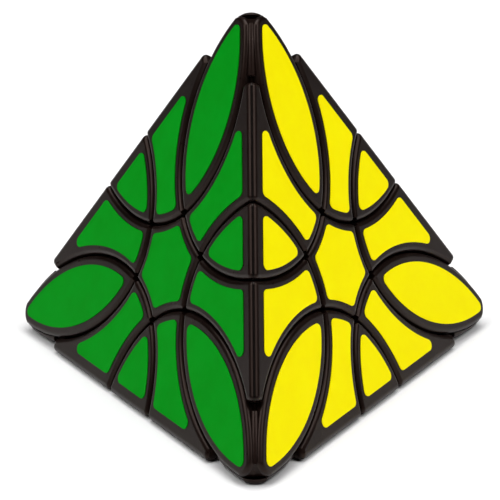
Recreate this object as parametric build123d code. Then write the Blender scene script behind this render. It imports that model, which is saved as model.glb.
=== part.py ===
"""Pyramid twisty puzzle: a tetrahedron cut by twelve curved caps, two on every edge.

Frame: millimetres, +Z up, origin at the centre of the bottom face, on the surface that the puzzle rests on.
The front corner points to -Y, the left corner to -X and the right corner to +X.

Every cut is a surface of revolution about an axis from the middle of the solid through a third-point of an
edge, so each of the twelve caps can turn about its own screw. A cap is named by the corner it is nearest to
and then by the other corner of its edge, such as (top, front). Pieces are told apart by the caps they lie in:
  none      centre, one in the middle of each face
  one       clover, one on each screw, with a snap-in cover over the screw head
  two       petal, where two caps of one corner meet on a face; edge, where the two caps of one edge meet
  three     corner, a spindle behind the tips of the three petals of a corner
"""
from build123d import *
import itertools
import math
import os

# ---------------------------------------------------------------- driving dimensions (mm)
EDGE = 106.0               # sharp edge length of the tetrahedron
EDGE_ROUND = 1.3           # rounding along the edges of the tetrahedron
RIM_ROUND = 0.9            # rounding of every piece's visible rim
CUT_GAP = 0.40             # gap between neighbouring pieces

# The cut's profile is an arc. Its centre is given along and across the cap's axis, from the solid's middle.
CUT_CENTRE_ALONG = 0.4858 * EDGE
CUT_CENTRE_ACROSS = -0.1068 * EDGE
CUT_RADIUS = 0.3836 * EDGE
CUT_START = 0.130 * EDGE   # the part of the profile that is used, along the axis
CUT_END = 0.640 * EDGE

SHELL_INNER = 15.6         # pieces reach inwards to this distance from the middle of the solid
CENTRE_INNER = 17.0        # centre pieces reach inwards to here ...
CENTRE_CONE = 34.0         # ... within this half angle of their face's normal, in degrees
CORNER_CLIP = 0.535 * EDGE  # corner spindles end at this distance from the middle of the solid

COVER_DEPTH = 3.0          # clover covers are this thick, square to the faces
CLOVER_TIP = 0.192 * EDGE  # from the corner of the tetrahedron to the tip of a clover, along the edge
NOSE_RADIUS = 2.7          # rounding of that tip in plan
TAIL_START = 7.8           # the cover's tail begins at this distance from the corner, along the edge
TAIL_END = 18.6            # where it drops into a notch in front of the tip
TAIL_NOTCH = 2.0           # how far below the faces the notch lies
TAIL_ROOT = 1.5            # how far the tail runs in under the tip
TAIL_CROWN = 12.0          # where its arched back is highest
TAIL_DEPTH = 1.9           # how far the crown lies below the sharp edge
TAIL_ARCH = 35.0           # radius of the back along its length
TAIL_ROUND = 0.9           # radius of the back across it
TAIL_GAP = 0.15            # gap between the tail and the petals beside it

PETAL_TIP = 7.3            # from the corner of the tetrahedron to the tip of a petal, along the face
PETAL_TIP_ROUND = 3.48     # radius of the tip in plan
PETAL_TIP_END = 9.0        # where the round tip runs into the sides

NOTCH_RADIUS = 1.0         # round notch in the corners of the four pieces that meet at one point of a face
NOTCH_DEPTH = 2.5
CROSSING = 0.1108 * EDGE   # distance of those points from the middle of the face

STICKER_THICK = 0.15
STICKER_INSET = 1.7        # margin between a sticker and the outline of its flat
PETAL_STICKER_GAP = 1.0    # petals' stickers follow an outline with this gap between the pieces
STICKER_ROUND = 1.2        # corner radius of a sticker
CORNER_TURN = 8.0          # an outline that turns by more than this, in degrees, has a corner there
SIDE_SPANS = 6             # points along each stretch of a sticker's outline, less one
SPECK = 0.05               # an outline's edges that are shorter than this are left out

# Screw, spring and core. Distances are along a cap's axis from the middle of the solid.
HUB_FACE = 7.0             # from the middle of the hub to its four large faces
HUB_SCREW_FACE = 7.5       # and to its twelve screw faces
ARM_RADIUS = 3.0
ARM_END = 14.0
STALK_RADIUS = 4.0
STALK_START = 14.3
SCREW_RADIUS = 1.48
THREAD_HOLE_RADIUS = 1.50
RUNNING_HOLE_RADIUS = 1.55
SCREW_START = 8.6
POCKET_RADIUS = 3.4        # the clover's pocket for spring and screw head
POCKET_FLOOR = 20.0
SPRING_END = 27.5
SPRING_RADIUS = 2.4        # to the middle of the wire
SPRING_WIRE = 0.30         # radius of the wire
SPRING_TURNS = 5.0
WASHER_RADIUS = 3.0
WASHER_THICK = 0.5
HEAD_RADIUS = 2.8
HEAD_THICK = 2.0
DRIVE_WIDTH = 0.8          # cross recess in the screw head
DRIVE_LENGTH = 3.2
DRIVE_DEPTH = 1.0
END_GAP = 0.05             # play between parts that meet along the axis

# ---------------------------------------------------------------- the tetrahedron
HEIGHT = EDGE * math.sqrt(2.0 / 3.0)
INRADIUS = HEIGHT / 4.0
BASE_RADIUS = EDGE / math.sqrt(3.0)
MIDDLE = Vector(0, 0, INRADIUS + STICKER_THICK)
CORNERS = {
    "top": MIDDLE + Vector(0, 0, 3.0 * INRADIUS),
    "front": MIDDLE + Vector(0, -BASE_RADIUS, -INRADIUS),
    "left": MIDDLE + Vector(-EDGE / 2, BASE_RADIUS / 2, -INRADIUS),
    "right": MIDDLE + Vector(EDGE / 2, BASE_RADIUS / 2, -INRADIUS),
}
FACES = {
    "green": ("top", "front", "left"),
    "yellow": ("top", "right", "front"),
    "red": ("top", "left", "right"),
    "blue": ("front", "right", "left"),
}
MOVING_CAPS = (("top", "front"), ("front", "left"), ("left", "right"), ("right", "top"))


def face_with(*corners):
    """The colour of the face that holds the given corners."""
    return next(colour for colour, names in FACES.items() if set(corners) <= set(names))


def face_normal(colour):
    middle = sum((CORNERS[name] for name in FACES[colour]), Vector(0, 0, 0)) / 3
    return (middle - MIDDLE).normalized()


def others(*corners):
    """The corners that aren't given."""
    return [name for name in CORNERS if name not in corners]


def tetrahedron(inset=0.0):
    """A sharp tetrahedron whose faces lie inset below the full one's."""
    scale = (INRADIUS - inset) / INRADIUS
    at = {name: MIDDLE + (point - MIDDLE) * scale for name, point in CORNERS.items()}
    sides = [Face(Wire.make_polygon([at[name] for name in names], close=True)) for names in FACES.values()]
    return Solid(Shell(sides))


def ball(radius):
    return Pos(*MIDDLE) * Sphere(radius)


# ---------------------------------------------------------------- places
def corner_frame(near, far):
    """A frame in the middle of the solid, with Z to one corner and X towards another."""
    z = (CORNERS[near] - MIDDLE).normalized()
    across = CORNERS[far] - MIDDLE
    return Plane(origin=MIDDLE, x_dir=across - z * across.dot(z), z_dir=z).location


def turned(shape, from_pair, to_pair):
    """The shape, turned about the middle of the solid so that one pair of corners lands on another."""
    return corner_frame(*to_pair) * corner_frame(*from_pair).inverse() * shape


def cap_frame(near, far):
    """A frame in the middle of the solid, with Z along the cap's axis and X along its edge."""
    z = ((CORNERS[near] * 2 + CORNERS[far]) / 3 - MIDDLE).normalized()
    along = CORNERS[far] - CORNERS[near]
    return Plane(origin=MIDDLE, x_dir=along - z * along.dot(z), z_dir=z).location


# ---------------------------------------------------------------- cuts
def cut_radius(along, offset):
    reach = CUT_RADIUS + offset
    return CUT_CENTRE_ACROSS + math.sqrt(reach ** 2 - (along - CUT_CENTRE_ALONG) ** 2)


def cap(near, far, offset):
    """The solid inside one cut, with the cut moved out by offset."""
    ends = [(cut_radius(along, offset), along) for along in (CUT_START, CUT_END)]
    middle = (cut_radius(CUT_CENTRE_ALONG, offset), CUT_CENTRE_ALONG)
    with BuildSketch(Plane.XZ) as profile:
        with BuildLine():
            ThreePointArc(ends[0], middle, ends[1])
            Polyline(ends[1], (0, CUT_END), (0, CUT_START), ends[0])
        make_face()
    return cap_frame(near, far) * Rot(0, 0, 180) * revolve(profile.sketch, axis=Axis.Z)


def cut_piece(stock, inside, outside, gap=CUT_GAP):
    """The part of the stock that lies inside some caps and outside others, less half the gap all round."""
    for pair in inside:
        stock = stock & cap(*pair, -gap / 2)
    for pair in outside:
        stock = stock - cap(*pair, gap / 2)
    return stock


def slab(near, far, start, end):
    """A block across the edge from near to far, between two distances from the near corner."""
    along = (CORNERS[far] - CORNERS[near]).normalized()
    plane = Plane(origin=CORNERS[near] + along * (start + end) / 2, z_dir=along)
    return plane.location * Box(EDGE, EDGE, end - start)


def post(near, far, distance, radius):
    """A round post that stands on an edge, at a distance from its near corner."""
    along = (CORNERS[far] - CORNERS[near]).normalized()
    outward = (CORNERS[near] + CORNERS[far]) / 2 - MIDDLE
    return Plane(origin=CORNERS[near] + along * distance, z_dir=outward).location * Cylinder(radius, EDGE)


# ---------------------------------------------------------------- faces and rims of a piece
def depth(point):
    """How far a point lies below the nearest face of the tetrahedron."""
    return min(INRADIUS - (point - MIDDLE).dot(face_normal(colour)) for colour in FACES)


def flats(shape, colour):
    """The flats of a shape that lie on one face of the tetrahedron."""
    normal = face_normal(colour)
    found = []
    for face in shape.faces():
        if face.geom_type == GeomType.PLANE and face.normal_at().dot(normal) > 0.999:
            if abs(depth(face.center())) < 0.01:
                found.append(face)
    return found


def round_rim(shape):
    """The shape with its visible rim rounded. Straight edges there are smooth joints along a crest."""
    rim = []
    for edge in shape.edges():
        if depth(edge @ 0.5) < EDGE_ROUND / 2 and edge.geom_type != GeomType.LINE:
            rim.append(edge)
    return fillet(rim, RIM_ROUND)


def face_middle(colour):
    return sum((CORNERS[name] for name in FACES[colour]), Vector(0, 0, 0)) * (1 / 3)


def notched(shape, colours):
    """The shape with its corners notched where four pieces meet, six times on each face."""
    for colour in colours:
        for name in FACES[colour]:
            spoke = (CORNERS[name] - face_middle(colour)).normalized() * CROSSING
            for point in (face_middle(colour) + spoke, face_middle(colour) - spoke):
                plane = Plane(origin=point, z_dir=face_normal(colour))
                shape = shape - plane.location * Cylinder(NOTCH_RADIUS, 2 * NOTCH_DEPTH)
    return shape


def sides_of(edges):
    """The sides of a closed outline, each as a list of points. A new side starts where the line turns."""
    steps = [k / SIDE_SPANS for k in range(SIDE_SPANS + 1)]
    spans = [[edge @ step for step in steps] for edge in edges if edge.length > SPECK]
    sides = [spans.pop(0)]
    while spans:
        end = sides[-1][-1]
        spans = [span if (span[0] - end).length < (span[-1] - end).length else span[::-1] for span in spans]
        span = min(spans, key=lambda points: (points[0] - end).length)
        spans.remove(span)
        if (sides[-1][-1] - sides[-1][-2]).get_angle(span[1] - span[0]) > CORNER_TURN:
            sides.append(span)
        else:
            sides[-1] = sides[-1] + span[1:]
    if (sides[-1][-1] - sides[-1][-2]).get_angle(sides[0][1] - sides[0][0]) < CORNER_TURN:
        sides[0] = sides.pop() + sides[0][1:]
    return sides


def smooth_face(edges):
    """The face inside a closed outline, redrawn with one spline along each of its sides."""
    sides = sides_of(edges)
    for side, following in zip(sides, sides[1:] + sides[:1]):
        side[-1] = following[0]
    return Face(Wire([Edge.make_spline(side) for side in sides]))


def stickers_on(shape, colours):
    """A sticker on each of the shape's flats, inset from the flat's outline and with rounded corners."""
    made = []
    for colour in colours:
        inset = offset(flats(shape, colour)[0], -STICKER_INSET)
        face = smooth_face(inset.edges())
        outline = fillet(face.vertices(), STICKER_ROUND)
        made.append(extrude(outline, STICKER_THICK, dir=face_normal(colour)))
    return made


# ---------------------------------------------------------------- one of each piece
def make_centre():
    """The plate in the middle of the green face."""
    half_angle = math.radians(CENTRE_CONE)
    height = EDGE / 2
    cone = Pos(0, 0, height / 2) * Cone(0.001, height * math.tan(half_angle), height)
    stock = tetrahedron() & (Plane(origin=MIDDLE, z_dir=face_normal("green")).location * cone)
    plate = cut_piece(stock - ball(CENTRE_INNER), [], list(itertools.permutations(FACES["green"], 2)))
    return notched(round_rim(plate), ["green"]), stickers_on(plate, ["green"])


def petal_tip():
    """A post square to the green face and ending level with it, and the block that the post replaces."""
    down = (face_middle("green") - CORNERS["top"]).normalized()
    post_at = CORNERS["top"] + down * (PETAL_TIP + PETAL_TIP_ROUND)
    tip = Pos(0, 0, -EDGE / 8) * Cylinder(PETAL_TIP_ROUND, EDGE / 4)
    tip = fillet(tip.edges().filter_by(GeomType.CIRCLE).sort_by(Axis.Z)[-1:], RIM_ROUND)
    block = Plane(origin=CORNERS["top"] + down * PETAL_TIP_END / 2, z_dir=down)
    return (
        Plane(origin=post_at, z_dir=face_normal("green")).location * tip,
        block.location * Box(EDGE, EDGE, PETAL_TIP_END),
    )


def make_petal(stock):
    """The petal of the top corner on the green face. Its sticker keeps a wider margin than the others."""
    inside = [("top", "front"), ("top", "left")]
    outside = [("top", "right")]
    tip, block = petal_tip()
    petal = round_rim(cut_piece(stock, inside, outside)) - (block - tip)
    narrower = cut_piece(stock, inside, outside, PETAL_STICKER_GAP)
    return notched(petal, ["green"]), stickers_on(narrower, ["green"])


def make_edge(stock):
    """The piece in the middle of the edge from top to front."""
    edge = cut_piece(stock, [("top", "front"), ("front", "top")], [])
    return notched(round_rim(edge), ["green", "yellow"]), stickers_on(edge, ["green", "yellow"])


def make_corner():
    """The spindle behind the petal tips of the top corner."""
    return cut_piece(ball(CORNER_CLIP), [("top", name) for name in others("top")], [])


def cut_clover(stock):
    """All that lies in cap (top, front) alone."""
    return cut_piece(stock, [("top", "front")], [("front", "top"), ("top", "left"), ("top", "right")])


def make_clover(stock):
    """The clover of cap (top, front) below its cover, with its stalk and its spring and screw pocket."""
    frame = cap_frame("top", "front")
    clover = cut_clover(stock) & tetrahedron(COVER_DEPTH)
    clover = clover + frame * rod(STALK_RADIUS, STALK_START, POCKET_FLOOR - 1)
    clover = clover - frame * rod(POCKET_RADIUS, POCKET_FLOOR, EDGE)
    return clover - frame * rod(RUNNING_HOLE_RADIUS, STALK_START - 1, POCKET_FLOOR + 1)


def make_cover(stock):
    """The cover of the same clover, with its tail, and its stickers."""
    layer = cut_clover(stock) - tetrahedron(COVER_DEPTH)
    nose_at = CLOVER_TIP + NOSE_RADIUS
    nose = post("top", "front", nose_at, NOSE_RADIUS)
    cover = layer - (slab("top", "front", 0, nose_at) - nose)
    stickers = stickers_on(cover, ["green", "yellow"])
    return notched(round_rim(cover), ["green", "yellow"]) + make_tail(stock), stickers


def make_tail(stock):
    """The cover's tail: a rounded rib, arched along its length, that fills the channel between two petals."""
    outward = ((CORNERS["top"] + CORNERS["front"]) / 2 - MIDDLE).normalized()
    along = (CORNERS["front"] - CORNERS["top"]).normalized()
    crown = CORNERS["top"] + along * TAIL_CROWN - outward * (TAIL_DEPTH + TAIL_ARCH)
    rib = Plane(origin=crown, z_dir=along.cross(outward)).location * Torus(TAIL_ARCH - TAIL_ROUND, TAIL_ROUND)
    tail = stock & slab("top", "front", TAIL_START, CLOVER_TIP + TAIL_ROOT)
    tail = tail & cap("top", "front", -CUT_GAP / 2)
    for name in ("left", "right"):
        tail = tail - cap("top", name, TAIL_GAP - CUT_GAP / 2)
    return (tail & rib) - (slab("top", "front", TAIL_END, CLOVER_TIP) - tetrahedron(TAIL_NOTCH))


def rod(radius, start, end):
    """A cylinder on the axis of a cap's frame, between two distances from the middle of the solid."""
    return Pos(0, 0, (start + end) / 2) * Cylinder(radius, end - start)


# ---------------------------------------------------------------- screws, springs and core
def make_screw():
    head_start = SPRING_END + WASHER_THICK + 2 * END_GAP
    head_end = head_start + HEAD_THICK
    screw = rod(SCREW_RADIUS, SCREW_START, head_end) + rod(HEAD_RADIUS, head_start, head_end)
    for angle in (0, 90):
        slot = Pos(0, 0, head_end) * Rot(0, 0, angle) * Box(DRIVE_LENGTH, DRIVE_WIDTH, 2 * DRIVE_DEPTH)
        screw = screw - slot
    return screw


def make_spring():
    start = POCKET_FLOOR + SPRING_WIRE + END_GAP
    height = SPRING_END - SPRING_WIRE - start
    path = Edge.make_helix(pitch=height / SPRING_TURNS, height=height, radius=SPRING_RADIUS)
    section = Plane(origin=path @ 0, z_dir=path % 0) * Circle(SPRING_WIRE)
    return Pos(0, 0, start) * sweep(section, path, is_frenet=True)


def make_washer():
    start = SPRING_END + END_GAP
    return rod(WASHER_RADIUS, start, start + WASHER_THICK) - rod(RUNNING_HOLE_RADIUS, start - 1, start + 1)


def make_core():
    """A faceted hub with an arm on each of its twelve screw faces."""
    arms = [cap_frame(*pair) for pair in itertools.permutations(CORNERS, 2)]
    core = tetrahedron(INRADIUS - HUB_FACE)
    for frame in arms:
        core = core - frame * Pos(0, 0, HUB_SCREW_FACE + EDGE / 2) * Box(EDGE, EDGE, EDGE)
    for frame in arms:
        core = core + frame * rod(ARM_RADIUS, HUB_SCREW_FACE - 0.5, ARM_END)
    for frame in arms:
        core = core - frame * rod(THREAD_HOLE_RADIUS, SCREW_START - 0.2, ARM_END + 1)
    return core


# ---------------------------------------------------------------- the assembly
def colour_of(shape):
    """The colour of the face of the tetrahedron that a sticker lies on."""
    return max(FACES, key=lambda colour: (shape.center() - MIDDLE).dot(face_normal(colour)))


def moving_cap_of(caps):
    """The corner whose turning cap holds a piece that lies in the given caps, or None for a fixed piece."""
    return next((pair[0] for pair in MOVING_CAPS if pair in caps), None)


def build():
    """All nodes by name, as lists of solids."""
    nodes = {}
    stock = fillet(tetrahedron().edges(), EDGE_ROUND) - ball(SHELL_INNER)

    def place(name, piece, made_stickers, from_pair, to_pair, caps):
        nodes.setdefault(name, []).append(turned(piece, from_pair, to_pair))
        mover = moving_cap_of(caps)
        for one in made_stickers:
            here = turned(one, from_pair, to_pair)
            owner = f"cap_{mover}" if mover else "fixed"
            nodes.setdefault(f"stickers_{colour_of(here)}_{owner}", []).append(here)

    plate, plate_stickers = make_centre()
    for colour, names in FACES.items():
        place(f"centre_{colour}", plate, plate_stickers, ("right", "top"), (*others(*names), names[0]), [])

    petal, petal_stickers = make_petal(stock)
    for near, opposite in itertools.permutations(CORNERS, 2):
        caps = [(near, far) for far in others(near, opposite)]
        name = f"petal_{face_with(*others(opposite))}_{near}"
        place(name, petal, petal_stickers, ("top", "right"), (near, opposite), caps)

    edge, edge_stickers = make_edge(stock)
    for near, far in itertools.combinations(CORNERS, 2):
        caps = [(near, far), (far, near)]
        place(f"edge_{near}_{far}", edge, edge_stickers, ("top", "front"), (near, far), caps)

    clover = make_clover(stock)
    cover, cover_stickers = make_cover(stock)
    for near, far in itertools.permutations(CORNERS, 2):
        place(f"clover_{near}_{far}", clover, [], ("top", "front"), (near, far), [])
        name = f"clover_cover_{near}_{far}" if (near, far) in MOVING_CAPS else "clover_covers_fixed"
        place(name, cover, cover_stickers, ("top", "front"), (near, far), [(near, far)])

    corner = make_corner()
    for near, far in MOVING_CAPS:
        place(f"corner_{near}", corner, [], ("top", "front"), (near, far), [])

    nodes["core"] = [make_core()]
    small_parts = {"axis_screws": make_screw(), "tension_springs": make_spring(), "washers": make_washer()}
    for name, part in small_parts.items():
        nodes[name] = [cap_frame(*pair) * part for pair in itertools.permutations(CORNERS, 2)]
    return nodes


def main():
    os.makedirs("parts", exist_ok=True)
    for name, solids in build().items():
        parts = [solid for shape in solids for solid in shape.solids()]
        export_step(parts[0] if len(parts) == 1 else Compound(parts), f"parts/{name}.step")


main()
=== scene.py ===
# Pyramid twisty puzzle on a white table. Metres, +Z up, origin under the middle of its base.
import itertools
import math

import bpy
from mathutils import Matrix, Vector

# ---------------------------------------------------------------- the puzzle
EDGE = 0.106                    # sharp edge length of the tetrahedron
STICKER_THICK = 0.00015
INRADIUS = EDGE * math.sqrt(2 / 3) / 4
MIDDLE = Vector((0, 0, INRADIUS + STICKER_THICK))
CORNERS = [                     # from the middle of the solid
    Vector((0, 0, 3 * INRADIUS)),
    Vector((0, -EDGE / math.sqrt(3), -INRADIUS)),
    Vector((-EDGE / 2, EDGE / math.sqrt(12), -INRADIUS)),
    Vector((EDGE / 2, EDGE / math.sqrt(12), -INRADIUS)),
]
SEAM_HALF = 0.00011             # half width of the parting line on every crest
SEAM_DEPTH = 0.00015
CREST = 0.0358                  # distance of the crests from the middle, less a little

# ---------------------------------------------------------------- colours, as a darker and a lighter tone
BLACK = (0.0045, 0.0018, 0.0013), (0.0090, 0.0045, 0.0036)
IVORY = (0.55, 0.54, 0.51), (0.64, 0.63, 0.60)
GREEN = (0.000, 0.268, 0.006), (0.000, 0.298, 0.009)
YELLOW = (0.98, 0.845, 0.000), (1.00, 0.89, 0.000)
RED = (0.60, 0.004, 0.006), (0.66, 0.007, 0.009)
BLUE = (0.001, 0.045, 0.40), (0.002, 0.060, 0.46)
STEEL = (0.50, 0.50, 0.49), (0.62, 0.62, 0.61)
PAPER = (0.915, 0.915, 0.915), (0.93, 0.93, 0.93)
# painted shade: near black for the parting line's groove, darker than the plastic itself, in place of the
# shade in the groove
SEAM_PAINTED_SHADE = (0.001, 0.001, 0.001)
PLASTIC_TINT = (1, 0.75, 0.66, 1)   # its gloss is a little warm
PLASTIC_GLOSS = 0.2
STICKER_GLOSS = 0.02

# ---------------------------------------------------------------- the camera, in edge lengths and degrees
AZIMUTH = 0.130
ELEVATION = 22.626
DISTANCE = 10.758
ROLL = -0.603
ASIDE = -0.00705                # the picture's middle, from the middle of the solid
ABOVE = 0.05679
FOCAL = 5534.0                  # focal length in pixels of a picture FRAME wide
FRAME = 500
SENSOR = 36.0                   # mm

# ---------------------------------------------------------------- the room
TABLE_SIZE = 6
TABLE_DROP = 0.00002            # keeps the table clear of the stickers that rest on it
SKY_LOW = 0.16                  # strength of the grey room light at the horizon, and overhead
SKY_HIGH = 1.36
LAMPS = {                       # place from the middle of the solid, diameter, power
    "left": ((-0.9, -0.5, 1.2), 1.0, 10.8),
    "right": ((0.95, -0.5, 1.2), 1.0, 10.8),
    "above": ((0.0, 0.2, 1.3), 1.2, 15),
}

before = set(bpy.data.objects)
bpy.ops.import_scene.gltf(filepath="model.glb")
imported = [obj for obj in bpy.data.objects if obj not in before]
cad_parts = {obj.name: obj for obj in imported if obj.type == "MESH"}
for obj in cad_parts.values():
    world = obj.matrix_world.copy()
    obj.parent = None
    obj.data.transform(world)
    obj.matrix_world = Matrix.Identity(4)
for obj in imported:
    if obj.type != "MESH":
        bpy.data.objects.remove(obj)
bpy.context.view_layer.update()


# ---------------------------------------------------------------- materials
class Nodes:
    """A material's node tree, with short calls for the nodes used here."""

    def __init__(self, name):
        self.material = bpy.data.materials.get(name) or bpy.data.materials.new(name)
        self.material.use_nodes = True
        self.tree = self.material.node_tree
        self.tree.nodes.clear()
        self.shader = self.add("ShaderNodeBsdfPrincipled")
        output = self.add("ShaderNodeOutputMaterial")
        self.link(self.shader.outputs["BSDF"], output.inputs["Surface"])
        self.place = self.add("ShaderNodeTexCoord").outputs["Object"]

    def add(self, kind, **settings):
        node = self.tree.nodes.new(kind)
        for key, value in settings.items():
            setattr(node, key, value)
        return node

    def link(self, source, target):
        self.tree.links.new(source, target)

    def drive(self, name, source):
        """Feed one of the shader's inputs from a node."""
        self.link(source, self.shader.inputs[name])

    def hold(self, name, value):
        """Set one of the shader's inputs to a constant."""
        self.shader.inputs[name].default_value = value

    def noise(self, scale, detail=2.0, rough=0.5):
        node = self.add("ShaderNodeTexNoise")
        node.inputs["Scale"].default_value = scale
        node.inputs["Detail"].default_value = detail
        node.inputs["Roughness"].default_value = rough
        self.link(self.place, node.inputs["Vector"])
        return node.outputs["Fac"]

    def span(self, value, start, end, low, high):
        node = self.add("ShaderNodeMapRange")
        for key, number in (("From Min", start), ("From Max", end), ("To Min", low), ("To Max", high)):
            node.inputs[key].default_value = number
        self.link(value, node.inputs["Value"])
        return node.outputs["Result"]

    def ramp(self, value, stops):
        node = self.add("ShaderNodeValToRGB")
        while len(node.color_ramp.elements) < len(stops):
            node.color_ramp.elements.new(0.5)
        for element, (at, colour) in zip(node.color_ramp.elements, stops):
            element.position = at
            element.color = (*colour, 1)
        self.link(value, node.inputs["Fac"])
        return node.outputs["Color"]

    def math(self, operation, first, second):
        node = self.add("ShaderNodeMath", operation=operation)
        for socket, value in zip(node.inputs, (first, second)):
            if isinstance(value, (int, float)):
                socket.default_value = value
            else:
                self.link(value, socket)
        return node.outputs["Value"]

    def along(self, direction):
        """Distance from the middle of the solid along a direction."""
        node = self.add("ShaderNodeVectorMath", operation="DOT_PRODUCT")
        self.link(self.place, node.inputs[0])
        node.inputs[1].default_value = direction
        return self.math("SUBTRACT", node.outputs["Value"], MIDDLE.dot(direction))

    def seam(self):
        """1 on the parting line that runs along each of the six crests, 0 elsewhere."""
        mask = None
        for one, two in itertools.combinations(range(4), 2):
            others = [CORNERS[k] for k in range(4) if k not in (one, two)]
            aside = self.math("ABSOLUTE", self.along((others[1] - others[0]).normalized()), 0.0)
            outward = self.along((CORNERS[one] + CORNERS[two]).normalized())
            line = self.span(aside, SEAM_HALF, 2 * SEAM_HALF, 1, 0)
            line = self.math("MULTIPLY", line, self.span(outward, CREST, CREST + SEAM_HALF, 0, 1))
            mask = line if mask is None else self.math("MAXIMUM", mask, line)
        return mask

    def bump(self, height, strength, distance, normal=None):
        node = self.add("ShaderNodeBump")
        node.inputs["Strength"].default_value = strength
        node.inputs["Distance"].default_value = distance
        self.link(height, node.inputs["Height"])
        if normal:
            self.link(normal, node.inputs["Normal"])
        return node.outputs["Normal"]


def moulded(name, tones, low, high):
    """Injection-moulded plastic: a fine grain, soft flow marks, a parting line bumped in as a groove and
    darkened in colour as painted shade, and slightly varied gloss.
    """
    n = Nodes(name)
    dark, light = tones
    cloud = n.noise(90, 3)
    seam = n.seam()
    # painted shade: the parting line's mask pulls the colour down to near black, in place of the shade in its
    # groove; the groove itself is only a bump
    tone = n.math("SUBTRACT", cloud, seam)
    groove = n.math("MULTIPLY", seam, -1.0)
    relief = n.bump(groove, 1.0, SEAM_DEPTH, n.bump(cloud, 0.2, 0.0002))
    n.drive("Base Color", n.ramp(tone, ((0.1, SEAM_PAINTED_SHADE), (0.35, dark), (0.7, light))))
    n.drive("Roughness", n.span(n.noise(700, 4, 0.6), 0.3, 0.7, low, high))
    n.drive("Normal", n.bump(n.noise(5200, 2), 0.25, 0.00003, relief))
    n.hold("Specular IOR Level", PLASTIC_GLOSS)
    n.hold("Specular Tint", PLASTIC_TINT)


def sticker(name, tones):
    """Satin vinyl film: an even colour with faint mottling, and a very shallow orange peel."""
    n = Nodes(name)
    deep, bright = tones
    n.drive("Base Color", n.ramp(n.noise(160, 4, 0.6), ((0.3, deep), (0.7, bright))))
    n.drive("Roughness", n.span(n.noise(500, 3), 0.3, 0.7, 0.38, 0.5))
    n.drive("Normal", n.bump(n.noise(1400, 2), 0.12, 0.00002))
    n.hold("Specular IOR Level", STICKER_GLOSS)


def metal(name, tones):
    """Bright zinc-plated steel."""
    n = Nodes(name)
    dark, light = tones
    n.drive("Base Color", n.ramp(n.noise(900, 3), ((0.3, dark), (0.7, light))))
    n.drive("Roughness", n.span(n.noise(2600, 2), 0.3, 0.7, 0.22, 0.38))
    n.hold("Metallic", 1.0)


def paper(name, tones):
    """Matt white paper, for the table."""
    n = Nodes(name)
    dark, light = tones
    n.drive("Base Color", n.ramp(n.noise(30, 3), ((0.3, dark), (0.7, light))))
    n.hold("Roughness", 0.9)
    return n.material


moulded("black_plastic", BLACK, 0.27, 0.36)
moulded("core_plastic", IVORY, 0.40, 0.52)
sticker("sticker_green", GREEN)
sticker("sticker_yellow", YELLOW)
sticker("sticker_red", RED)
sticker("sticker_blue", BLUE)
metal("steel", STEEL)

# ---------------------------------------------------------------- table, light and camera
scene = bpy.context.scene
scene.view_settings.view_transform = "Standard"

bpy.ops.mesh.primitive_plane_add(size=TABLE_SIZE)
floor = bpy.context.object
floor.name = "floor"
floor.location.z = -TABLE_DROP
floor.data.materials.append(paper("floor_paper", PAPER))


def studio():
    """A dim grey room, brighter overhead than at the horizon. The camera itself sees one even grey."""
    world = bpy.data.worlds.new("studio")
    world.use_nodes = True
    nodes = world.node_tree.nodes
    ray = nodes.new("ShaderNodeTexCoord").outputs["Generated"]
    split = nodes.new("ShaderNodeSeparateXYZ")
    ramp = nodes.new("ShaderNodeMapRange")
    for key, number in (("From Min", -0.1), ("From Max", 1.0), ("To Min", SKY_LOW), ("To Max", SKY_HIGH)):
        ramp.inputs[key].default_value = number
    seen = nodes.new("ShaderNodeLightPath").outputs["Is Camera Ray"]
    strength = nodes.new("ShaderNodeMath")
    strength.operation = "MAXIMUM"
    link = world.node_tree.links.new
    link(ray, split.inputs["Vector"])
    link(split.outputs["Z"], ramp.inputs["Value"])
    link(ramp.outputs["Result"], strength.inputs[0])
    link(seen, strength.inputs[1])
    link(strength.outputs["Value"], nodes["Background"].inputs["Strength"])
    return world


def lamp(name, at, size, power):
    light = bpy.data.lights.new(name, "AREA")
    light.shape = "DISK"
    light.size = size
    light.energy = power
    made = bpy.data.objects.new(name, light)
    made.location = MIDDLE + Vector(at)
    made.rotation_mode = "QUATERNION"
    made.rotation_quaternion = (-Vector(at)).to_track_quat("-Z", "Y")
    scene.collection.objects.link(made)


def photographer():
    """The camera, level with the front edge and looking down on it."""
    azimuth, elevation, roll = (math.radians(x) for x in (AZIMUTH, ELEVATION, ROLL))
    level = Vector((math.cos(azimuth), math.sin(azimuth), 0))
    ahead = Vector((math.sin(azimuth), -math.cos(azimuth), 0))
    back = ahead * math.cos(elevation) + Vector((0, 0, math.sin(elevation)))
    upright = back.cross(level)
    right = level * math.cos(roll) + upright * math.sin(roll)
    up = upright * math.cos(roll) - level * math.sin(roll)
    lens = bpy.data.cameras.new("camera")
    lens.sensor_width = SENSOR
    lens.lens = FOCAL / FRAME * SENSOR
    lens.clip_start = 0.05
    lens.clip_end = 20
    camera = bpy.data.objects.new("camera", lens)
    at = MIDDLE + EDGE * (right * ASIDE + up * ABOVE + back * DISTANCE)
    camera.matrix_world = Matrix.Translation(at) @ Matrix((right, up, back)).transposed().to_4x4()
    scene.collection.objects.link(camera)
    return camera


scene.world = studio()
for name, (at, size, power) in LAMPS.items():
    lamp(name, at, size, power)
scene.camera = photographer()
